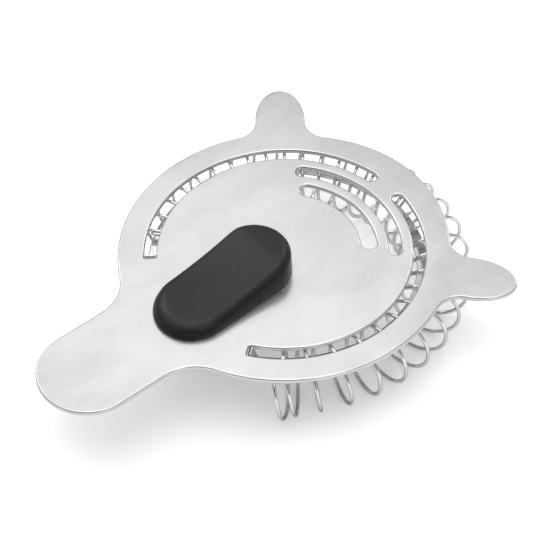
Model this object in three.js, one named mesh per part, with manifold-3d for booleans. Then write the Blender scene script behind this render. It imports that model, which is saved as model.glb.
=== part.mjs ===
// Hawthorne strainer: a slotted steel plate with a short handle and two ears, a long coil spring
// carried under its rim by a C-shaped band, and a soft finger rest screwed on from below.
// Millimetres, +Z up, +X away from the handle. The strainer stands on its spring at z = 0.
import * as THREE from 'three';
import { mergeVertices } from 'three/addons/utils/BufferGeometryUtils.js';
import Module from 'manifold-3d';

const wasm = await Module();
wasm.setup();

const rad = THREE.MathUtils.degToRad;

// ---- driving dimensions ----------------------------------------------------------------------
const gap = 0.3;                       // between pieces that touch on the real strainer

const disc = { radius: 45, thickness: 1.4, frontRadius: 39.7, frontReach: 45.9 };
const handle = { reach: 78.1, halfWidth: 13.8, neckFillet: 12.5 };
const ear = { angle: 51.9, centre: 50.4, reach: 12.2, halfWidth: 7.15, fillet: 6.5 };

const longSlot = { inner: 34.5, outer: 37.8, from: 6.2, to: 145, corner: 0.6 };   // rear corners
const shortSlots = [
  { inner: 27.9, outer: 31.5, from: -44.5, to: 44.5 },
  { inner: 20.7, outer: 24.9, from: -40, to: 40 },
];

const wireRadius = 0.5;
const coil = { halfHeight: 9.7, halfWidth: 9.42, phase: -0.065, firstTurn: -15.88, lastTurn: 15.08 };
// The ring that the coil's middle follows: its radius by multiples of the angle round the disc.
const ring = { radius: 38.89, cos: [2.6, 1.2], sin: [1.88, -0.99] };
// Angle of each turn, in degrees, as a polynomial of the turn's number over spread.turns.
const spread = { turns: 14, angles: [10.83, 114.12, -12.63, 7.89, 6.55, 1.56, -2.91] };
// At the coil's left end its middle lies closer in, from one angle to the other.
const tuck = { from: 75, to: 120, depth: 3.0 };
// The end turns leave the even spread: each push adds an angle between two turns.
const pushes = [
  { from: -13.9, to: -14.4, angle: 2.4 },
  { from: -14.9, to: -15.45, angle: 7.9 },
  { from: 14.1, to: 15.0, angle: -7.4 },
];
// On some turns the tops run ahead of the bottoms.
const slant = { angle: 1.1, from: -13.2, full: -12, fading: -6, to: -4 };
const flare = { from: -14, to: -15.4, depth: 1.6 };   // the right end's middle lies further out
const wireSteps = 14;                  // sections in one turn

// The band lies deepest at the front. It rises and closes in towards its ends, level from there on.
const band = { inner: 35.7, outer: 38.9, depth: 6.8, thickness: 0.8 };
const bandEnd = { inner: 34.1, outer: 37.1, depth: 4.3, from: 30, to: 120, reach: 141.2 };
const bandTab = { inner: longSlot.inner + gap, outer: longSlot.outer - gap, from: 143.2, to: 144.2 };

const rest = { rear: -32.5, front: -10.8, halfWidth: 10.2, rearHeight: 4.0, frontHeight: 7.8 };
const restRise = { start: -37.5, end: -8.3 };
const restSkew = { degrees: 2.7, x: -10.6, y: -0.14 };   // the rest sits turned about this point
const core = { wall: 2.0, taper: 0.4 };
const screw = { xs: [-28, -14], shank: 1.3, length: 3.6, head: 2.8, headHeight: 1.4 };

// ---- heights ---------------------------------------------------------------------------------
const coilCentreZ = coil.halfHeight + wireRadius;
const plateBottom = coilCentreZ + coil.halfHeight + wireRadius + gap;
const plateTop = plateBottom + disc.thickness;

// ---- shared helpers --------------------------------------------------------------------------
// Where a point given along and across the rest lies on the plate.
function onRest(x, y) {
  const [c, s] = [Math.cos(rad(restSkew.degrees)), Math.sin(rad(restSkew.degrees))];
  const along = x - restSkew.x;
  return [restSkew.x + along * c - y * s, restSkew.y + along * s + y * c];
}

const steel = () => new THREE.MeshStandardMaterial({ color: 0xd6d6d8, roughness: 0.35, metalness: 1 });
const brightSteel = () => new THREE.MeshStandardMaterial({ color: 0xe2e2e4, roughness: 0.15, metalness: 1 });
const blackRubber = () => new THREE.MeshStandardMaterial({ color: 0x343436, roughness: 0.75, metalness: 0 });
const greyNylon = () => new THREE.MeshStandardMaterial({ color: 0x3f4144, roughness: 0.6, metalness: 0 });

// Goes smoothly from 0 to 1 as the value passes between two others, in either direction.
function ramp(value, from, to) {
  const t = THREE.MathUtils.clamp((value - from) / (to - from), 0, 1);
  return t * t * (3 - 2 * t);
}

const parts = [];

function addPart(name, geometry, material) {
  const mesh = new THREE.Mesh(geometry, material);
  mesh.name = name;
  parts.push(mesh);
  return mesh;
}

function toManifold(geometry) {
  const bare = geometry.clone();
  bare.deleteAttribute('normal');
  bare.deleteAttribute('uv');
  const merged = mergeVertices(bare, 1e-4);
  return new wasm.Manifold(new wasm.Mesh({
    numProp: 3,
    vertProperties: new Float32Array(merged.attributes.position.array),
    triVerts: new Uint32Array(merged.index.array),
  }));
}

function fromManifold(solid) {
  const mesh = solid.getMesh();
  const geometry = new THREE.BufferGeometry();
  geometry.setAttribute('position', new THREE.BufferAttribute(new Float32Array(mesh.vertProperties), 3));
  geometry.setIndex(new THREE.BufferAttribute(new Uint32Array(mesh.triVerts), 1));
  geometry.computeVertexNormals();
  return geometry;
}

function indexed(points, triangles) {
  const geometry = new THREE.BufferGeometry();
  geometry.setAttribute('position', new THREE.Float32BufferAttribute(points.flat(), 3));
  geometry.setIndex(triangles.flat());
  geometry.computeVertexNormals();
  return geometry;
}

// ---- plate -----------------------------------------------------------------------------------
// Centre of a fillet that touches a straight ear side and the circle (centreX, radius) of the rim,
// in the ear's own axes: x along the ear, y across it.
function earFilletCentre(side, centreX, radius) {
  const across = side * (ear.halfWidth + ear.fillet);
  const circle = new THREE.Vector2(centreX * Math.cos(rad(ear.angle)), -centreX * Math.sin(rad(ear.angle)));
  const along = circle.x + Math.sqrt((radius + ear.fillet) ** 2 - (across - circle.y) ** 2);
  return new THREE.Vector2(along, across);
}

// Half of the plate's outline on the +Y side, from the front of the rim round to the handle's end.
function halfOutline() {
  const earTurn = rad(ear.angle);
  const origin = new THREE.Vector2();
  const frontX = disc.frontReach - disc.frontRadius;
  const path = new THREE.Path();

  const frontFillet = earFilletCentre(-1, frontX, disc.frontRadius).rotateAround(origin, earTurn);
  const frontEnd = Math.atan2(frontFillet.y, frontFillet.x - frontX);
  path.absarc(frontX, 0, disc.frontRadius, 0, frontEnd, false);
  path.absarc(frontFillet.x, frontFillet.y, ear.fillet, frontEnd + Math.PI, earTurn + Math.PI / 2, true);

  const tip = new THREE.Vector2(ear.centre, 0).rotateAround(origin, earTurn);
  path.absellipse(tip.x, tip.y, ear.reach, ear.halfWidth, -Math.PI / 2, Math.PI / 2, false, earTurn);

  const rearFillet = earFilletCentre(1, 0, disc.radius).rotateAround(origin, earTurn);
  const rearEnd = Math.atan2(rearFillet.y, rearFillet.x);
  path.absarc(rearFillet.x, rearFillet.y, ear.fillet, earTurn - Math.PI / 2, rearEnd - Math.PI, true);

  const neckY = handle.halfWidth + handle.neckFillet;
  const neckX = -Math.sqrt((disc.radius + handle.neckFillet) ** 2 - neckY ** 2);
  const neckEnd = Math.atan2(neckY, neckX);
  path.absarc(0, 0, disc.radius, rearEnd, neckEnd, false);
  path.absarc(neckX, neckY, handle.neckFillet, neckEnd - Math.PI, -Math.PI / 2, true);
  path.absarc(handle.halfWidth - handle.reach, 0, handle.halfWidth, Math.PI / 2, Math.PI, false);
  return path.getPoints(14);
}

// A slot along an arc about the disc's centre, with round ends. With a corner radius, its far end is
// square with rounded corners instead.
function arcSlot(slot) {
  const middle = (slot.inner + slot.outer) / 2;
  const half = (slot.outer - slot.inner) / 2;
  const corner = slot.corner ?? half;
  const from = rad(slot.from) + half / middle;
  const to = rad(slot.to) - corner / middle;
  const [c, s] = [Math.cos(to), Math.sin(to)];
  const path = new THREE.Path();
  path.absarc(0, 0, slot.outer, from, to, false);
  path.absarc((slot.outer - corner) * c, (slot.outer - corner) * s, corner, to, to + Math.PI / 2, false);
  path.absarc((slot.inner + corner) * c, (slot.inner + corner) * s, corner, to + Math.PI / 2, to + Math.PI, false);
  path.absarc(0, 0, slot.inner, to, from, true);
  path.absarc(middle * Math.cos(from), middle * Math.sin(from), half, from + Math.PI, from + 2 * Math.PI, false);
  return path;
}

function roundHole(x, y, radius) {
  const path = new THREE.Path();
  path.absarc(x, y, radius, 0, 2 * Math.PI, false);
  return path;
}

function strainerPlate() {
  const upper = halfOutline();
  const lower = upper.slice(1, -1).reverse().map((p) => new THREE.Vector2(p.x, -p.y));
  const shape = new THREE.Shape([...upper, ...lower]);
  const left = arcSlot(longSlot);
  const right = new THREE.Path(left.getPoints(14).reverse().map((p) => new THREE.Vector2(p.x, -p.y)));
  shape.holes.push(left, right, ...shortSlots.map(arcSlot));
  shape.holes.push(...screw.xs.map((x) => roundHole(...onRest(x, 0), screw.shank + gap)));
  const geometry = new THREE.ExtrudeGeometry(shape, {
    depth: disc.thickness, bevelEnabled: false, curveSegments: 14,
  });
  geometry.translate(0, 0, plateBottom);
  return geometry;
}

// ---- coil spring -----------------------------------------------------------------------------
// The coil's own axis is bent round the disc; its turns stand closer together at the front.
class CoilPath extends THREE.Curve {
  getPoint(t, target = new THREE.Vector3()) {
    const turn = THREE.MathUtils.lerp(coil.firstTurn, coil.lastTurn, t);
    const share = turn / spread.turns;
    const roll = 2 * Math.PI * (turn + coil.phase);
    const pushed = pushes.reduce((sum, push) => sum + push.angle * ramp(turn, push.from, push.to), 0);
    const slanted = ramp(turn, slant.from, slant.full) * ramp(turn, slant.to, slant.fading);
    const degrees = spread.angles.reduce((sum, k, i) => sum + k * share ** i, 0)
      + pushed + slant.angle * slanted * Math.cos(roll);
    const angle = rad(degrees);
    const waves = ring.cos.map((k, i) => k * Math.cos((i + 1) * angle) + ring.sin[i] * Math.sin((i + 1) * angle));
    const moved = flare.depth * ramp(turn, flare.from, flare.to) - tuck.depth * ramp(degrees, tuck.from, tuck.to);
    const r = ring.radius + waves[0] + waves[1] + moved + coil.halfWidth * Math.sin(roll);
    const z = coilCentreZ + coil.halfHeight * Math.cos(roll);
    return target.set(r * Math.cos(angle), r * Math.sin(angle), z);
  }
}

function coilSpring() {
  const circle = new THREE.Path().absarc(0, 0, wireRadius, 0, 2 * Math.PI, false);
  return new THREE.ExtrudeGeometry(new THREE.Shape(circle.getPoints(3)), {
    steps: Math.round((coil.lastTurn - coil.firstTurn) * wireSteps),
    extrudePath: new CoilPath(),
    bevelEnabled: false,
    curveSegments: 3,
  });
}

// ---- C-shaped band ---------------------------------------------------------------------------
// A flat strip through the inside of the coil. Its ends rise past the last turns to tabs that
// stand in the rear ends of the long slots, flush with the plate, where they are welded.
function bandSection(angle) {
  const towards = ramp(Math.abs(angle), bandEnd.from, bandEnd.to);
  const bend = ramp(Math.abs(angle), bandEnd.reach, bandTab.from);
  const along = (key) => THREE.MathUtils.lerp(band[key], bandEnd[key], towards);
  const inner = THREE.MathUtils.lerp(along('inner'), bandTab.inner, bend);
  const outer = THREE.MathUtils.lerp(along('outer'), bandTab.outer, bend);
  const top = plateTop - along('depth') * (1 - bend);
  const [c, s] = [Math.cos(rad(angle)), Math.sin(rad(angle))];
  return [[inner, top], [outer, top], [outer, top - band.thickness], [inner, top - band.thickness]]
    .map(([r, z]) => [r * c, r * s, z]);
}

function springBand() {
  const angles = [];
  const reach = bandEnd.reach;
  for (let k = 0; k < 60; k += 1) angles.push(reach * (k / 30 - 1));
  const riser = [0, 0.2, 0.4, 0.6, 0.8, 1].map((k) => THREE.MathUtils.lerp(reach, bandTab.from, k));
  const ends = [...riser, bandTab.to];
  const all = [...ends.map((a) => -a).reverse(), ...angles.slice(1), ...ends];
  const points = all.flatMap(bandSection);
  const triangles = [];
  for (let i = 0; i < all.length - 1; i += 1) {
    for (let k = 0; k < 4; k += 1) {
      const [a, b] = [4 * i + k, 4 * i + ((k + 1) % 4)];
      triangles.push([a, b, b + 4], [a, b + 4, a + 4]);
    }
  }
  const last = 4 * (all.length - 1);
  triangles.push([0, 2, 1], [0, 3, 2], [last, last + 1, last + 2], [last, last + 2, last + 3]);
  return indexed(points, triangles);
}

// ---- finger rest -----------------------------------------------------------------------------
// The rest is a long round-ended pad whose top sweeps up towards the front.
function restHeight(x) {
  const t = THREE.MathUtils.clamp((x - restRise.start) / (restRise.end - restRise.start), 0, 1);
  return THREE.MathUtils.lerp(rest.rearHeight, rest.frontHeight, t * t);
}

// One side of the round-ended outline, from the front tip to the rear tip, moved in by an inset.
function restSide(inset) {
  const r = rest.halfWidth - inset;
  const side = [];
  for (let a = 0; a <= 90; a += 15) side.push([rest.front + r * Math.cos(rad(a)), r * Math.sin(rad(a))]);
  for (let k = 1; k < 6; k += 1) side.push([THREE.MathUtils.lerp(rest.front, rest.rear, k / 6), r]);
  for (let a = 90; a <= 180; a += 15) side.push([rest.rear + r * Math.cos(rad(a)), r * Math.sin(rad(a))]);
  side[side.length - 1][1] = 0;
  return side;
}

// A closed pad shape: levels are [inset, height above the plate at x], from the bottom to the top.
function padShape(levels) {
  const rings = levels.map(([inset, height]) => {
    const side = restSide(inset);
    const back = side.slice(1, -1).reverse().map(([x, y]) => [x, -y]);
    return [...side, ...back].map(([x, y]) => [...onRest(x, y), plateTop + height(x)]);
  });
  const n = rings[0].length;
  const half = n / 2;
  const triangles = [];
  for (let j = 0; j < rings.length - 1; j += 1) {
    for (let i = 0; i < n; i += 1) {
      const [a, b] = [j * n + i, j * n + ((i + 1) % n)];
      triangles.push([a, b, b + n], [a, b + n, a + n]);
    }
  }
  const cap = (base, flip) => {
    for (let i = 0; i < half; i += 1) {
      const [u, v, lu, lv] = [i, i + 1, (n - i) % n, (n - i - 1) % n].map((k) => base + k);
      const faces = i === 0 ? [[u, v, lv]] : (i === half - 1 ? [[u, v, lu]] : [[u, v, lv], [u, lv, lu]]);
      triangles.push(...(flip ? faces.map(([a, b, c]) => [a, c, b]) : faces));
    }
  };
  cap(0, true);
  cap((rings.length - 1) * n, false);
  return indexed(rings.flat(), triangles);
}

function fingerRest() {
  const outside = padShape([
    [0, () => gap],
    [0.3, (x) => 0.5 * restHeight(x)],
    [1.2, (x) => restHeight(x) - 0.8],
    [3.0, (x) => restHeight(x)],
  ]);
  const pocket = padShape([
    [core.wall, () => -1],
    [core.wall + core.taper, (x) => restHeight(x) - core.wall],
  ]);
  return fromManifold(toManifold(outside).subtract(toManifold(pocket)));
}

function restCore() {
  const body = padShape([
    [core.wall + gap, () => gap],
    [core.wall + gap + core.taper, (x) => restHeight(x) - core.wall - gap],
  ]);
  const bores = screw.xs.map((x) => {
    const bore = new THREE.CylinderGeometry(screw.shank + gap, screw.shank + gap, 2 * screw.length, 16);
    bore.rotateX(Math.PI / 2);
    bore.translate(...onRest(x, 0), plateTop + restScrewReach(x) + gap - screw.length);
    return toManifold(bore);
  });
  return fromManifold(bores.reduce((solid, bore) => solid.subtract(bore), toManifold(body)));
}

// How far a screw reaches above the plate, short of the top of the core.
function restScrewReach(x) {
  return Math.min(screw.length, restHeight(x) - core.wall - 3 * gap);
}

// ---- screws ----------------------------------------------------------------------------------
function restScrew(x) {
  const top = disc.thickness + restScrewReach(x);
  const profile = [
    [0, -gap - screw.headHeight],
    [0.55 * screw.head, -gap - screw.headHeight],
    [0.9 * screw.head, -gap - 0.7 * screw.headHeight],
    [screw.head, -gap - 0.3 * screw.headHeight],
    [screw.head, -gap],
    [screw.shank, -gap],
    [screw.shank, top - 0.5],
    [0.6 * screw.shank, top],
    [0, top],
  ].map(([r, z]) => new THREE.Vector2(r, z));
  const geometry = new THREE.LatheGeometry(profile, 18);
  geometry.rotateX(Math.PI / 2);
  return geometry;
}

// ---- assembly --------------------------------------------------------------------------------
addPart('strainer_plate', strainerPlate(), steel());
addPart('coil_spring', coilSpring(), brightSteel());
addPart('spring_band', springBand(), steel());
addPart('finger_rest', fingerRest(), blackRubber());
addPart('finger_rest_core', restCore(), greyNylon());
['rest_screw_rear', 'rest_screw_front'].forEach((name, i) => {
  addPart(name, restScrew(screw.xs[i]), brightSteel()).position.set(...onRest(screw.xs[i], 0), plateBottom);
});

const strainer = new THREE.Group();
strainer.add(...parts);

// The origin is under the middle of the whole strainer, on the surface that it stands on.
const bounds = new THREE.Box3().setFromObject(strainer, true);
const middle = bounds.getCenter(new THREE.Vector3());
strainer.position.set(-middle.x, -middle.y, -bounds.min.z);

export default strainer;
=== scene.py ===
# Hawthorne strainer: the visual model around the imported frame. Shapes are given in millimetres from
# the middle of the disc, as in the CAD, and are placed in metres by at().
import math

import bpy
from mathutils import Matrix, Vector
from mathutils.geometry import tessellate_polygon


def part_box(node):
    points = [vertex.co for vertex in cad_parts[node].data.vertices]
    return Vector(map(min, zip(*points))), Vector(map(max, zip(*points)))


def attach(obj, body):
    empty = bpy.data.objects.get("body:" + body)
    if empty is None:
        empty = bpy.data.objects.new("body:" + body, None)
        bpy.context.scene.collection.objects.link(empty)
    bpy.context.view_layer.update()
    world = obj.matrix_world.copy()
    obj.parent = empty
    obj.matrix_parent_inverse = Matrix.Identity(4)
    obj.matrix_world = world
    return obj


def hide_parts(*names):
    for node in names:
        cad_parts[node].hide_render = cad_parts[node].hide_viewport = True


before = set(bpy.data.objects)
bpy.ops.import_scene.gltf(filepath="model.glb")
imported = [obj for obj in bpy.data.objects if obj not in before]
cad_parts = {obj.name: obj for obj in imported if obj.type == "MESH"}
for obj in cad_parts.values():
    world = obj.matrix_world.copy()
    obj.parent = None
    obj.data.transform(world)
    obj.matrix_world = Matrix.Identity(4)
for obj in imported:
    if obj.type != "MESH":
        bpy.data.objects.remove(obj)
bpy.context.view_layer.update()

MM = 0.001
TAU = 2 * math.pi

# ---- dimensions, in mm ------------------------------------------------------------------------
# GAP is what separate pieces keep between them.
GAP = 0.3

DISC_RADIUS = 45.0
FRONT_REACH = 45.9
FRONT_RADIUS = 39.7
FRONT_X = FRONT_REACH - FRONT_RADIUS
THICKNESS = 1.4
PLATE_TOP = 22.1

HANDLE_REACH = 78.1
HANDLE_HALF = 13.8
NECK_FILLET = 12.5

EAR_TURN = math.radians(51.9)
EAR_CENTRE = 50.4
EAR_REACH = 12.2
EAR_HALF = 7.15
EAR_FILLET = 6.5

# A slot is its inner and outer radius, and the angles of its two ends in degrees. The right long
# slot mirrors the left one.
LONG_SLOT = (34.5, 37.8, 6.2, 145.0)
SLOT_CORNER = 0.6
SHORT_SLOTS = ((27.9, 31.5, -44.5, 44.5), (20.7, 24.9, -40.0, 40.0))

WIRE_RADIUS = 0.5
COIL_HALF_HEIGHT = 9.7
COIL_HALF_WIDTH = 9.42
COIL_Z = COIL_HALF_HEIGHT + WIRE_RADIUS
COIL_PHASE = -0.065
FIRST_TURN, LAST_TURN = -15.88, 15.08
# The coil's axis is a ring whose radius has two waves round the disc.
RING_RADIUS, RING_COS, RING_SIN = 38.89, (2.6, 1.2), (1.88, -0.99)
# A turn's angle in degrees is a sum of powers of its share of SPREAD_TURNS.
SPREAD_TURNS, SPREAD = 14, (10.83, 114.12, -12.63, 7.89, 6.55, 1.56, -2.91)
# The ring is tucked in between two angles on the left, and flares out at the first turns.
TUCK_FROM, TUCK_TO, TUCK = 75.0, 120.0, 3.0
FLARE_FROM, FLARE_TO, FLARE = -14.0, -15.4, 1.6
# A push turns the coil's end by some degrees between two turns.
PUSHES = ((-13.9, -14.4, 2.4), (-14.9, -15.45, 7.9), (14.1, 15.0, -7.4))
# The tops of these turns lean along the ring by some degrees, and their bottoms lean back.
SLANT, SLANT_IN, SLANT_OUT = 1.1, (-13.2, -12.0), (-4.0, -6.0)

BAND_INNER = 35.7
BAND_OUTER = 38.9
BAND_DEPTH = 6.8
BAND_THICKNESS = 0.8
BAND_END_INNER = 34.1
BAND_END_OUTER = 37.1
BAND_END_DEPTH = 4.3
BAND_CLOSE_FROM, BAND_CLOSE_TO = 30.0, 120.0
BAND_REACH = 141.2
TAB_INNER = LONG_SLOT[0] + GAP
TAB_OUTER = LONG_SLOT[1] - GAP
TAB_FROM = 143.2
TAB_TO = 144.2

REST_REAR = -32.5
REST_FRONT = -10.8
REST_HALF = 10.2
REST_LOW = 4.0
REST_HIGH = 7.8
RISE_START, RISE_END = -37.5, -8.3
REST_SKEW = math.radians(2.7)
REST_PIVOT = Vector((-10.6, -0.14))

plate_low, plate_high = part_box("strainer_plate")
ORIGIN = Vector((plate_low[0] + HANDLE_REACH * MM, 0.0, plate_high[2] - PLATE_TOP * MM))


def at(x, y, z):
    """A point given in mm from the disc's middle, in the frame's metres."""
    return ORIGIN + Vector((x, y, z)) * MM


def polar(radius, angle, z=0.0):
    """A point at an angle in radians round the disc's middle."""
    return Vector((radius * math.cos(angle), radius * math.sin(angle), z))


def lerp(a, b, t):
    return a + (b - a) * t


def smoothstep(value, low, high):
    """0 at low, 1 at high and smooth between; low may be the larger one."""
    t = min(max((value - low) / (high - low), 0.0), 1.0)
    return t * t * (3 - 2 * t)


# ---- camera -----------------------------------------------------------------------------------
SENSOR = 36.0
FOCAL_IN_WIDTHS = 3.2727
AZIMUTH = -38.5
ELEVATION = 48.33
ROLL = -1.28
DISC_IN_VIEW = Vector((2.64, 7.07, -483.1))


def make_camera():
    """DISC_IN_VIEW is the disc's middle in the camera's axes, right, up and back, in mm."""
    a, e = math.radians(AZIMUTH), math.radians(ELEVATION)
    back = Vector((math.sin(a) * math.cos(e), -math.cos(a) * math.cos(e), math.sin(e)))
    level = Vector((math.cos(a), math.sin(a), 0.0))
    turn = Matrix((level, back.cross(level), back)).transposed()
    turn = turn @ Matrix.Rotation(math.radians(ROLL), 3, "Z")
    data = bpy.data.cameras.new("camera")
    data.sensor_width = SENSOR
    data.lens = SENSOR * FOCAL_IN_WIDTHS
    data.clip_start = 0.01
    data.clip_end = 20.0
    camera = bpy.data.objects.new("camera", data)
    bpy.context.collection.objects.link(camera)
    where = at(0, 0, PLATE_TOP) - turn @ DISC_IN_VIEW * MM
    camera.matrix_world = Matrix.Translation(where) @ turn.to_4x4()
    bpy.context.scene.camera = camera


make_camera()


# ---- materials --------------------------------------------------------------------------------
class Look:
    """A node material with a Principled shader, and short ways to add nodes to it."""

    def __init__(self, name, **sockets):
        self.material = bpy.data.materials.new(name)
        self.material.use_nodes = True
        self.tree = self.material.node_tree
        self.shader = self.tree.nodes["Principled BSDF"]
        for socket, value in sockets.items():
            self.shader.inputs[socket.replace("_", " ")].default_value = value

    def node(self, kind, settings=None, **inputs):
        made = self.tree.nodes.new(kind)
        for key, value in (settings or {}).items():
            setattr(made, key, value)
        for key, value in inputs.items():
            socket = made.inputs[key.replace("_", " ")]
            if isinstance(value, bpy.types.NodeSocket):
                self.tree.links.new(value, socket)
            else:
                socket.default_value = value
        return made

    def place(self, stretch=(1, 1, 1), space="Object"):
        """The object's coordinates in mm, or another space's as they are, stretched."""
        where = self.node("ShaderNodeTexCoord").outputs[space]
        scale = [k / MM if space == "Object" else k for k in stretch]
        return self.node("ShaderNodeMapping", Vector=where, Scale=scale).outputs["Vector"]

    def away(self):
        """Distance from the frame's origin in mm."""
        made = self.node("ShaderNodeVectorMath", {"operation": "LENGTH"}, Vector=self.place())
        return made.outputs["Value"]

    def noise(self, where, scale, detail=3.0, roughness=0.5):
        made = self.node(
            "ShaderNodeTexNoise", Vector=where, Scale=scale, Detail=detail, Roughness=roughness
        )
        return made.outputs["Fac"]

    def spread(self, value, low, high, from_low=0.3, from_high=0.7):
        made = self.node("ShaderNodeMapRange", Value=value)
        for socket, number in zip(
            ("From Min", "From Max", "To Min", "To Max"), (from_low, from_high, low, high)
        ):
            made.inputs[socket].default_value = number
        return made.outputs["Result"]

    def mix(self, factor, first, second):
        made = self.node("ShaderNodeMix", {"data_type": "RGBA"})
        for index, value in ((0, factor), (6, first), (7, second)):
            if isinstance(value, bpy.types.NodeSocket):
                self.tree.links.new(value, made.inputs[index])
            else:
                made.inputs[index].default_value = value if index == 0 else (*value, 1.0)
        return made.outputs[2]

    def shades(self, factor, dark, light):
        """Blends two shades as a noise goes from low to high."""
        return self.mix(self.spread(factor, 0, 1), dark, light)

    def math(self, operation, first, second):
        made = self.node("ShaderNodeMath", {"operation": operation})
        for index, value in enumerate((first, second)):
            if isinstance(value, bpy.types.NodeSocket):
                self.tree.links.new(value, made.inputs[index])
            else:
                made.inputs[index].default_value = value
        return made.outputs[0]

    def drive(self, socket, value):
        self.tree.links.new(value, self.shader.inputs[socket])

    def bump(self, height, strength, distance_mm):
        made = self.node(
            "ShaderNodeBump", Height=height, Strength=strength, Distance=distance_mm * MM
        )
        self.drive("Normal", made.outputs["Normal"])


# Painted shade: the steel is darker from one distance from the frame's origin to another, in mm, for
# the dimmer reflection towards the plate's outer ends.
PAINTED_SHADE_FROM, PAINTED_SHADE_TO, PAINTED_SHADE_SHARE = 44, 66, 0.18


def satin_steel():
    """Brushed along the handle, with soft clouds, a few fine pits, and painted shade that darkens it
    towards its outer ends.
    """
    look = Look("satin_steel", Metallic=1.0)
    grain = look.noise(look.place((0.25, 5.0, 1.0)), 1.0, 4.0)
    cloud = look.noise(look.place((0.6, 1.0, 1.0)), 0.075, 5.0, 0.6)
    speck = look.noise(look.place(), 2.6, 2.0)
    pit = look.spread(look.noise(look.place(), 1.3, 2.0), 0.0, 0.5, 0.72, 0.76)
    clouded = look.spread(cloud, 0, 1, 0.35, 0.65)
    base = look.mix(clouded, (0.505, 0.505, 0.51), (0.615, 0.615, 0.62))
    base = look.mix(look.spread(grain, 0, 0.35), base, (0.56, 0.56, 0.565))
    # Painted shade: the base colour goes darker towards the plate's outer ends.
    painted_shade = look.spread(look.away(), 0, PAINTED_SHADE_SHARE, PAINTED_SHADE_FROM, PAINTED_SHADE_TO)
    base = look.mix(painted_shade, base, (0.30, 0.30, 0.30))
    look.drive("Base Color", look.mix(pit, base, (0.36, 0.36, 0.365)))
    rough = look.math("ADD", look.spread(grain, 0.27, 0.33), look.spread(cloud, -0.03, 0.03))
    look.drive("Roughness", rough)
    look.bump(look.math("ADD", grain, speck), 0.05, 0.02)
    return look.material


def spring_wire():
    """Bright drawn wire, with fine lines along it."""
    look = Look("spring_wire", Metallic=1.0, Specular_Tint=(0.45, 0.45, 0.45, 1.0))
    drawn = look.noise(look.place((2.0, 60.0, 1.0), "UV"), 1.0, 3.0)
    patch = look.noise(look.place(), 0.25, 2.0)
    look.drive("Base Color", look.shades(patch, (0.54, 0.54, 0.55), (0.66, 0.66, 0.67)))
    look.drive("Roughness", look.spread(drawn, 0.06, 0.14))
    look.bump(drawn, 0.15, 0.01)
    return look.material


def band_steel():
    """Rolled strip, smoother than the plate."""
    look = Look("band_steel", Metallic=1.0)
    rolled = look.noise(look.place((0.6, 0.6, 4.0)), 1.5, 3.0)
    patch = look.noise(look.place(), 0.12, 2.0)
    look.drive("Base Color", look.shades(patch, (0.50, 0.50, 0.51), (0.57, 0.57, 0.58)))
    look.drive("Roughness", look.spread(rolled, 0.14, 0.24))
    look.bump(rolled, 0.10, 0.01)
    return look.material


def screw_steel():
    """Bright steel with turning marks."""
    look = Look("screw_steel", Metallic=1.0)
    turned = look.noise(look.place((1.0, 1.0, 8.0)), 3.0, 3.0)
    look.drive("Base Color", look.shades(turned, (0.66, 0.66, 0.67), (0.78, 0.78, 0.79)))
    look.drive("Roughness", look.spread(turned, 0.20, 0.34))
    look.bump(turned, 0.12, 0.01)
    return look.material


def soft_rubber():
    """Black rubber with a fine grain and a few light specks of dust."""
    look = Look("soft_rubber", Specular_IOR_Level=0.32)
    grain = look.noise(look.place(), 5.0, 3.0, 0.6)
    patch = look.noise(look.place(), 0.12, 3.0)
    dust = look.spread(look.noise(look.place(), 3.2, 1.0), 0.0, 0.5, 0.70, 0.73)
    base = look.shades(patch, (0.004, 0.004, 0.005), (0.008, 0.008, 0.009))
    look.drive("Base Color", look.mix(dust, base, (0.12, 0.12, 0.12)))
    look.drive("Roughness", look.spread(grain, 0.36, 0.46))
    look.bump(grain, 0.25, 0.03)
    return look.material


def core_nylon():
    """Dark moulded nylon."""
    look = Look("core_nylon")
    grain = look.noise(look.place(), 3.0, 3.0)
    look.drive("Base Color", look.shades(grain, (0.04, 0.04, 0.045), (0.06, 0.06, 0.065)))
    look.drive("Roughness", look.spread(grain, 0.45, 0.6))
    look.bump(grain, 0.2, 0.03)
    return look.material


STEEL = satin_steel()
WIRE = spring_wire()
BAND = band_steel()
SCREW = screw_steel()
RUBBER = soft_rubber()
NYLON = core_nylon()


# ---- mesh helpers -----------------------------------------------------------------------------
def solid(name, points, faces, material, body, node, weighted=False, uvs=None):
    """A smooth mesh from points in mm, which stands for a CAD node and rides on its body."""
    mesh = bpy.data.meshes.new(name)
    mesh.from_pydata([at(*p) for p in points], [], faces)
    mesh.validate()
    mesh.polygons.foreach_set("use_smooth", [True] * len(mesh.polygons))
    mesh.materials.append(material)
    if uvs:
        layer = mesh.uv_layers.new(name="along")
        for loop in mesh.loops:
            layer.data[loop.index].uv = uvs[loop.vertex_index]
    made = bpy.data.objects.new(name, mesh)
    bpy.context.collection.objects.link(made)
    if weighted:
        flat = made.modifiers.new("flat_faces", "WEIGHTED_NORMAL")
        flat.weight = 100
    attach(made, body)
    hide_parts(node)


def swept(rings):
    """Quads that join rings of points, with one face over each end."""
    n = len(rings[0])
    points = [p for ring in rings for p in ring]
    faces = []
    for j in range(len(rings) - 1):
        for i in range(n):
            a, b = j * n + i, j * n + (i + 1) % n
            faces.append((a, b, b + n, a + n))
    last = (len(rings) - 1) * n
    faces.append(tuple(reversed(range(n))))
    faces.append(tuple(range(last, last + n)))
    return points, faces


# ---- plate ------------------------------------------------------------------------------------
ARC_STEP = 0.7
SAME_POINT = 0.02
EDGE_TOP, EDGE_TOP_STEPS = 0.5, 4
EDGE_BOTTOM, EDGE_BOTTOM_STEPS = 0.3, 3


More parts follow.
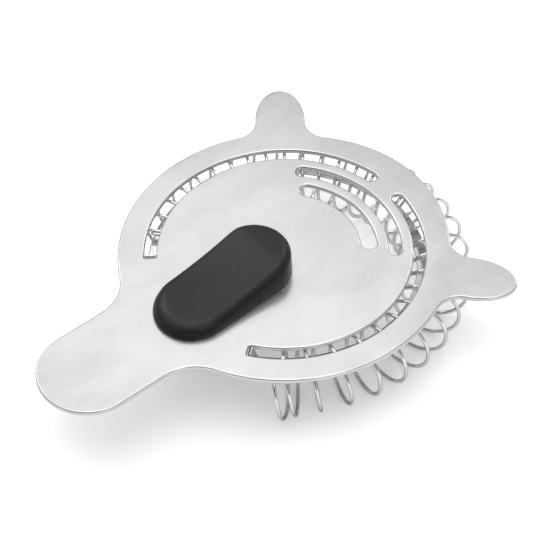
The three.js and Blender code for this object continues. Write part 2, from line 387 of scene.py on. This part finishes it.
def arc(cx, cy, radius, start, end, stretch=None, turn=0.0):
    """Points on an arc from start to end, which runs backwards if end is smaller.

    With stretch, it is an ellipse with that other half axis, turned by an angle.
    """
    rx, ry = (radius, radius) if stretch is None else (radius, stretch)
    steps = max(4, math.ceil(abs(end - start) * max(rx, ry) / ARC_STEP))
    made = []
    for k in range(steps + 1):
        a = lerp(start, end, k / steps)
        p = Vector((rx * math.cos(a), ry * math.sin(a)))
        p.rotate(Matrix.Rotation(turn, 2))
        made.append(Vector((cx, cy)) + p)
    return made


def ear_fillet(side, centre_x, radius):
    """Centre of the fillet between a side of the ear and the rim's circle."""
    across = side * (EAR_HALF + EAR_FILLET)
    circle = Vector((centre_x * math.cos(EAR_TURN), -centre_x * math.sin(EAR_TURN)))
    along = circle.x + math.sqrt((radius + EAR_FILLET) ** 2 - (across - circle.y) ** 2)
    found = Vector((along, across))
    found.rotate(Matrix.Rotation(EAR_TURN, 2))
    return found


def half_outline():
    """The left half of the plate's outline, from the front's middle to the handle's tip."""
    front = ear_fillet(-1, FRONT_X, FRONT_RADIUS)
    front_end = math.atan2(front.y, front.x - FRONT_X)
    path = arc(FRONT_X, 0, FRONT_RADIUS, 0, front_end)
    path += arc(front.x, front.y, EAR_FILLET, front_end + math.pi, EAR_TURN + math.pi / 2)
    tip = polar(EAR_CENTRE, EAR_TURN)
    path += arc(tip.x, tip.y, EAR_REACH, -math.pi / 2, math.pi / 2, EAR_HALF, EAR_TURN)
    rear = ear_fillet(1, 0, DISC_RADIUS)
    rear_end = math.atan2(rear.y, rear.x)
    path += arc(rear.x, rear.y, EAR_FILLET, EAR_TURN + 1.5 * math.pi, rear_end + math.pi)
    neck_y = HANDLE_HALF + NECK_FILLET
    neck_x = -math.sqrt((DISC_RADIUS + NECK_FILLET) ** 2 - neck_y ** 2)
    neck_end = math.atan2(neck_y, neck_x)
    path += arc(0, 0, DISC_RADIUS, rear_end, neck_end)
    path += arc(neck_x, neck_y, NECK_FILLET, neck_end - math.pi, -math.pi / 2)
    path += arc(HANDLE_HALF - HANDLE_REACH, 0, HANDLE_HALF, math.pi / 2, math.pi)
    return path


def thinned(path):
    """The closed path without points that fall on the one before."""
    kept = [path[0]]
    for p in path[1:]:
        if (p - kept[-1]).length > SAME_POINT:
            kept.append(p)
    if (kept[-1] - kept[0]).length < SAME_POINT:
        kept.pop()
    return kept


def slot_outline(slot, corner=None):
    """An arc slot. Its far end is round, or has two rounded corners."""
    inner, outer, start, end = slot
    middle, half = (inner + outer) / 2, (outer - inner) / 2
    corner = corner or half
    start, end = math.radians(start) + half / middle, math.radians(end) - corner / middle
    path = arc(0, 0, outer, start, end)
    path += arc(*polar(outer - corner, end).xy, corner, end, end + math.pi / 2)
    path += arc(*polar(inner + corner, end).xy, corner, end + math.pi / 2, end + math.pi)
    path += arc(0, 0, inner, end, start)
    path += arc(*polar(middle, start).xy, half, start + math.pi, start + TAU)
    return thinned(path)


def outward(path, hole):
    """Unit vectors from the metal at each point of a closed path that runs anticlockwise."""
    sign = -1 if hole else 1
    made = []
    for k, p in enumerate(path):
        ahead, behind = path[(k + 1) % len(path)], path[k - 1]
        t = ((ahead - p).normalized() + (p - behind).normalized()).normalized()
        made.append(sign * Vector((t.y, -t.x)))
    return made


def rounded_edge():
    """(inset, height) down the plate's edge, from the top face to the bottom face."""
    levels = []
    for k in range(EDGE_TOP_STEPS + 1):
        a = k / EDGE_TOP_STEPS * math.pi / 2
        levels.append((EDGE_TOP * (1 - math.sin(a)), PLATE_TOP - EDGE_TOP * (1 - math.cos(a))))
    low = PLATE_TOP - THICKNESS
    for k in range(EDGE_BOTTOM_STEPS + 1):
        a = k / EDGE_BOTTOM_STEPS * math.pi / 2
        levels.append((EDGE_BOTTOM * (1 - math.cos(a)), low + EDGE_BOTTOM * (1 - math.sin(a))))
    return levels


def plate():
    """Rounded edges down the outline and the slots, and two flat faces with holes."""
    upper = half_outline()
    lower = [Vector((p.x, -p.y)) for p in reversed(upper[1:-1])]
    left = slot_outline(LONG_SLOT, SLOT_CORNER)
    right = [Vector((p.x, -p.y)) for p in reversed(left)]
    loops = [(thinned(upper + lower), False), (left, True), (right, True)]
    loops += [(slot_outline(slot), True) for slot in SHORT_SLOTS]
    levels = rounded_edge()
    points, faces, caps = [], [], ([], [])
    for path, hole in loops:
        out = outward(path, hole)
        base, n = len(points), len(path)
        for inset, z in levels:
            points += [(*(p - o * inset), z) for p, o in zip(path, out)]
        for j in range(len(levels) - 1):
            for i in range(n):
                a, b = base + j * n + i, base + j * n + (i + 1) % n
                quad = (a, a + n, b + n, b)
                faces.append(tuple(reversed(quad)) if hole else quad)
        caps[0].append(range(base, base + n))
        caps[1].append(range(base + (len(levels) - 1) * n, base + len(levels) * n))
    for rings, up in zip(caps, (True, False)):
        order = [k for ring in rings for k in ring]
        flat = [[Vector((*points[k][:2], 0.0)) for k in ring] for ring in rings]
        for triangle in tessellate_polygon(flat):
            a, b, c = (order[k] for k in triangle)
            pa, pb, pc = (Vector(points[k][:2]) for k in (a, b, c))
            anticlockwise = (pb - pa).cross(pc - pa) > 0
            faces.append((a, b, c) if anticlockwise == up else (a, c, b))
    solid("plate", points, faces, STEEL, "strainer_body", "strainer_plate", weighted=True)


plate()


# ---- coil spring ------------------------------------------------------------------------------
WIRE_SIDES = 12
STEPS_PER_TURN = 40
# The wire's ends are rounded by two smaller circles: shares of the wire's radius.
END_CIRCLES = (0.55, 0.9)
END_STEP = 0.3


def coil_point(turn):
    """The wire's middle: turns round a coil whose own axis is bent round the disc."""
    share = turn / SPREAD_TURNS
    roll = TAU * (turn + COIL_PHASE)
    degrees = sum(k * share ** i for i, k in enumerate(SPREAD))
    degrees += sum(push * smoothstep(turn, start, end) for start, end, push in PUSHES)
    degrees += SLANT * smoothstep(turn, *SLANT_IN) * smoothstep(turn, *SLANT_OUT) * math.cos(roll)
    angle = math.radians(degrees)
    ring = RING_RADIUS + FLARE * smoothstep(turn, FLARE_FROM, FLARE_TO)
    ring -= TUCK * smoothstep(degrees, TUCK_FROM, TUCK_TO)
    for i, (c, s) in enumerate(zip(RING_COS, RING_SIN), 1):
        ring += c * math.cos(i * angle) + s * math.sin(i * angle)
    r = ring + COIL_HALF_WIDTH * math.sin(roll)
    return polar(r, angle, COIL_Z + COIL_HALF_HEIGHT * math.cos(roll))


def wire_rings(path, radius):
    """Circles round a path, carried along it without twist, with rounded ends."""
    rings, across = [], None
    last = len(path) - 1
    for k, p in enumerate(path):
        along = (path[min(k + 1, last)] - path[max(k - 1, 0)]).normalized()
        if across is None:
            across = along.orthogonal().normalized()
        across = (across - along * across.dot(along)).normalized()
        up = along.cross(across)
        ring = []
        for i in range(WIRE_SIDES):
            a = TAU * i / WIRE_SIDES
            ring.append((across * math.cos(a) + up * math.sin(a)) * radius)
        if k in (0, last):
            small, large = END_CIRCLES
            inward = along * END_STEP * radius * (1 if k == 0 else -1)
            pair = [[p + small * o for o in ring], [p + inward + large * o for o in ring]]
            rings += pair if k == 0 else reversed(pair)
        else:
            rings.append([p + o for o in ring])
    return rings


def coil_spring():
    """One round wire along the coil, with UVs in mm along it."""
    steps = round((LAST_TURN - FIRST_TURN) * STEPS_PER_TURN)
    path = [coil_point(lerp(FIRST_TURN, LAST_TURN, k / steps)) for k in range(steps + 1)]
    rings = wire_rings(path, WIRE_RADIUS)
    points, faces = swept(rings)
    step_mm = COIL_HALF_HEIGHT * TAU / STEPS_PER_TURN
    uvs = []
    for j in range(len(rings)):
        uvs += [(j * step_mm, abs(2 * i / WIRE_SIDES - 1)) for i in range(WIRE_SIDES)]
    solid("coil", points, faces, WIRE, "spring", "coil_spring", uvs=uvs)


coil_spring()


# ---- C-shaped band ----------------------------------------------------------------------------
# Degrees from section to section, and sections in each bend.
BAND_STEP, BEND_STEPS = 1.5, 10
CORNER, CORNER_STEPS = 0.22, 3


def band_section(angle):
    """A rounded rectangle across the band, clockwise as seen along the sweep."""
    close = smoothstep(abs(angle), BAND_CLOSE_FROM, BAND_CLOSE_TO)
    bend = smoothstep(abs(angle), BAND_REACH, TAB_FROM)
    inner = lerp(lerp(BAND_INNER, BAND_END_INNER, close), TAB_INNER, bend)
    outer = lerp(lerp(BAND_OUTER, BAND_END_OUTER, close), TAB_OUTER, bend)
    top = PLATE_TOP - lerp(BAND_DEPTH, BAND_END_DEPTH, close) * (1 - bend)
    middle_r, middle_z = (inner + outer) / 2, top - BAND_THICKNESS / 2
    half_r, half_z = (outer - inner) / 2 - CORNER, BAND_THICKNESS / 2 - CORNER
    ring = []
    for quarter, (sr, sz) in enumerate(((1, 1), (-1, 1), (-1, -1), (1, -1))):
        for k in range(CORNER_STEPS + 1):
            a = (quarter + k / CORNER_STEPS) * math.pi / 2
            r = middle_r + sr * half_r + CORNER * math.cos(a)
            z = middle_z + sz * half_z + CORNER * math.sin(a)
            ring.append(polar(r, math.radians(angle), z))
    return ring


def band():
    """The strip from end to end, bent up at both ends into the long slots."""
    count = round(2 * BAND_REACH / BAND_STEP)
    angles = [lerp(-BAND_REACH, BAND_REACH, k / count) for k in range(count + 1)]
    bends = [lerp(BAND_REACH, TAB_FROM, k / BEND_STEPS) for k in range(1, BEND_STEPS + 1)]
    left = bends + [TAB_TO]
    right = [-a for a in reversed(left)]
    rings = [band_section(a) for a in right + angles + left]
    points, faces = swept(rings)
    faces = [tuple(reversed(face)) for face in faces]
    solid("band", points, faces, BAND, "strainer_body", "spring_band", weighted=True)


band()


# ---- finger rest ------------------------------------------------------------------------------
def rest_height(x):
    """The pad's height, which rises towards the front."""
    t = min(max((x - RISE_START) / (RISE_END - RISE_START), 0), 1)
    return lerp(REST_LOW, REST_HIGH, t * t)


# Steps round each of the outline's two ends, and along each of its sides.
REST_END_STEPS, REST_SIDE_STEPS = 24, 16
REST_TIP = REST_END_STEPS // 2
# How far the pad's skin stays above the plate.
REST_LIFT = 0.04
# The foot's insets, each with the share of the height where it is.
REST_FOOT = ((0.30, 0.0), (0.06, 0.02), (0.0, 0.07), (0.12, 0.3))
# The round-over's size at the front and at the low rear end, and its steps.
ROUND_FRONT, ROUND_REAR, ROUND_STEPS = 2.6, 4.6, 10
# Where the rear's round-over begins and is full, as distances towards the rear.
ROUND_REAR_FROM, ROUND_REAR_TO = -REST_REAR - 1, -REST_REAR + REST_HALF
# A round-over takes at most this share of the height, and starts this far in.
ROUND_DEEPEST = 0.8
ROUND_INSET = 0.15
REST_TOP_INSETS = (5.6, 7.0, 8.4)


def rest_ring(inset):
    """The round-ended outline, moved in by an inset, anticlockwise from the front."""
    r = REST_HALF - inset
    ring = []
    for start, end, side in ((REST_FRONT, REST_REAR, 1), (REST_REAR, REST_FRONT, -1)):
        for k in range(REST_END_STEPS + 1):
            a = side * math.radians(-90) + math.pi * k / REST_END_STEPS
            ring.append(Vector((start, 0)) + polar(r, a).xy)
        for k in range(1, REST_SIDE_STEPS):
            ring.append(Vector((lerp(start, end, k / REST_SIDE_STEPS), side * r)))
    return ring


def on_rest(p):
    """Where a point of the pad, made along the X axis, lies once the pad is turned."""
    along = Vector((p[0] - REST_PIVOT.x, p[1]))
    along.rotate(Matrix.Rotation(REST_SKEW, 2))
    return (*(REST_PIVOT + along), p[2])


def finger_rest():
    """A foot, a round-over and a top face, which quads across the outline close."""
    rings = []
    base = PLATE_TOP + REST_LIFT
    for inset, share in REST_FOOT:
        rings.append([(p.x, p.y, base + share * rest_height(p.x)) for p in rest_ring(inset)])
    for k in range(1, ROUND_STEPS + 1):
        a = k / ROUND_STEPS * math.pi / 2
        ring = []
        for p, q in zip(rest_ring(0.0), rest_ring(1.0)):
            rear = smoothstep(-p.x, ROUND_REAR_FROM, ROUND_REAR_TO)
            over = lerp(ROUND_FRONT, ROUND_REAR, rear)
            drop = min(over, ROUND_DEEPEST * rest_height(p.x))
            spot = p + (q - p) * (ROUND_INSET + over * (1 - math.cos(a)))
            height = rest_height(spot.x) - drop * (1 - math.sin(a))
            ring.append((spot.x, spot.y, base + height))
        rings.append(ring)
    for inset in REST_TOP_INSETS:
        rings.append([(p.x, p.y, base + rest_height(p.x)) for p in rest_ring(inset)])
    points, faces = swept(rings)
    points = [on_rest(p) for p in points]
    faces.pop()
    n, last = len(rings[0]), (len(rings) - 1) * len(rings[0])
    for i in range(REST_TIP, REST_TIP + n // 2):
        pair = (i, i + 1, 2 * REST_TIP - i - 1, 2 * REST_TIP - i)
        faces.append(tuple(dict.fromkeys(last + k % n for k in pair)))
    solid("finger_pad", points, faces, RUBBER, "strainer_body", "finger_rest")


finger_rest()

# The core and the screws keep their CAD meshes.
for node, material in (
    ("finger_rest_core", NYLON),
    ("rest_screw_rear", SCREW),
    ("rest_screw_front", SCREW),
):
    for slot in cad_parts[node].material_slots:
        slot.material = material


# ---- studio -----------------------------------------------------------------------------------
# The white table turns grey between two distances from the strainer, in mm.
FLOOR_HALF = 3.0
FLOOR_BRIGHT, FLOOR_DARK = 170.0, 420.0
FLOOR_FAR_GLOW = 0.55
# Painted light: the table glows more behind the strainer than in front of it, a pool of light for the
# lamp light that reaches under the plate from behind, across these distances in mm.
FLOOR_GLOW, FLOOR_GLOW_BEHIND = 0.22, 0.34
FLOOR_BEHIND = (0.62, 0.78, 0.0)
BEHIND_FROM, BEHIND_TO = -15.0, 35.0


def floor():
    """The white table that the strainer stands on."""
    mesh = bpy.data.meshes.new("floor")
    corners = ((-1, -1), (1, -1), (1, 1), (-1, 1))
    points = [(FLOOR_HALF * x, FLOOR_HALF * y, 0) for x, y in corners]
    mesh.from_pydata(points, [], [(0, 1, 2, 3)])
    look = Look("floor", Roughness=0.9)
    look.shader.inputs["Specular IOR Level"].default_value = 0.1
    look.shader.inputs["Emission Color"].default_value = (1, 1, 1, 1)
    table = look.spread(look.away(), 1.0, FLOOR_FAR_GLOW, FLOOR_BRIGHT, FLOOR_DARK)
    across = look.node("ShaderNodeVectorMath", {"operation": "DOT_PRODUCT"}, Vector=look.place())
    across.inputs[1].default_value = FLOOR_BEHIND
    behind = across.outputs["Value"]
    # Painted light: the glow rises behind the strainer.
    glow = look.spread(behind, FLOOR_GLOW, FLOOR_GLOW_BEHIND, BEHIND_FROM, BEHIND_TO)
    look.drive("Emission Strength", look.math("MULTIPLY", table, glow))
    tone = look.noise(look.place(), 0.01, 2.0)
    paper = look.shades(tone, (0.86, 0.86, 0.86), (0.88, 0.88, 0.88))
    look.drive("Base Color", look.mix(table, (0.40, 0.40, 0.40), paper))
    mesh.materials.append(look.material)
    made = bpy.data.objects.new("floor", mesh)
    bpy.context.collection.objects.link(made)


# Each lamp's name, place and width in metres, and power in watts.
LAMPS = (
    ("over_handle", (-0.40, -0.30, 1.00), 0.35, 0.4),
    ("near_side", (-0.15, -0.75, 0.65), 0.25, 1.0),
    ("left_side", (-0.07, 0.85, 0.85), 0.4, 2.2),
    ("right_side", (0.95, 0.25, 0.75), 0.3, 1.6),
)


def area_light(name, where, width, power):
    """A square light that shines on the strainer."""
    data = bpy.data.lights.new(name, "AREA")
    data.shape = "SQUARE"
    data.size = width
    data.energy = power
    made = bpy.data.objects.new(name, data)
    made.location = where
    made.rotation_euler = (-Vector(where)).to_track_quat("-Z", "Y").to_euler()
    bpy.context.collection.objects.link(made)


# The sky's light rises from the horizon to overhead, and is nowhere darker than SKY_DARKEST.
# Each glow is a direction, how much light it adds or takes away, and how narrow it is.
SKY_DARKEST = 0.03
SKY_LOW = 0.38
SKY_RISE = 0.98
GLOWS = (
    ((0.385, 0.530, 0.755), 2.1, 340.0),
    ((-0.45, -0.50, 0.74), -0.95, 10.0),
    ((0.0, 0.0, 1.0), 1.9, 14.0),
)


def sky():
    """A bright room, with brighter and darker parts in fixed directions."""
    world = bpy.data.worlds.new("studio")
    world.use_nodes = True
    tree = world.node_tree

    def op(kind, operation, *values):
        made = tree.nodes.new(kind)
        made.operation = operation
        for index, value in enumerate(values):
            if isinstance(value, bpy.types.NodeSocket):
                tree.links.new(value, made.inputs[index])
            else:
                made.inputs[index].default_value = value
        return made.outputs["Value"]

    where = tree.nodes.new("ShaderNodeTexCoord").outputs["Generated"]
    height = tree.nodes.new("ShaderNodeSeparateXYZ")
    tree.links.new(where, height.inputs["Vector"])
    up = op("ShaderNodeMath", "MAXIMUM", height.outputs["Z"], 0.0)
    squared = op("ShaderNodeMath", "POWER", up, 2.0)
    rise = op("ShaderNodeMath", "MULTIPLY", squared, SKY_RISE)
    light = op("ShaderNodeMath", "ADD", rise, SKY_LOW)
    for direction, amount, narrow in GLOWS:
        towards = op("ShaderNodeVectorMath", "DOT_PRODUCT", where, Vector(direction).normalized())
        facing = op("ShaderNodeMath", "MAXIMUM", towards, 0.0)
        lobe = op("ShaderNodeMath", "POWER", facing, narrow)
        added = op("ShaderNodeMath", "MULTIPLY", lobe, amount)
        light = op("ShaderNodeMath", "ADD", added, light)
    light = op("ShaderNodeMath", "MAXIMUM", light, SKY_DARKEST)
    tree.links.new(light, tree.nodes["Background"].inputs["Strength"])
    tree.nodes["Background"].inputs["Color"].default_value = (1, 1, 1, 1)
    bpy.context.scene.world = world


def studio():
    """The table, the room's light and four soft lamps."""
    floor()
    sky()
    for lamp in LAMPS:
        area_light(*lamp)
    bpy.context.scene.view_settings.view_transform = "Standard"


studio()
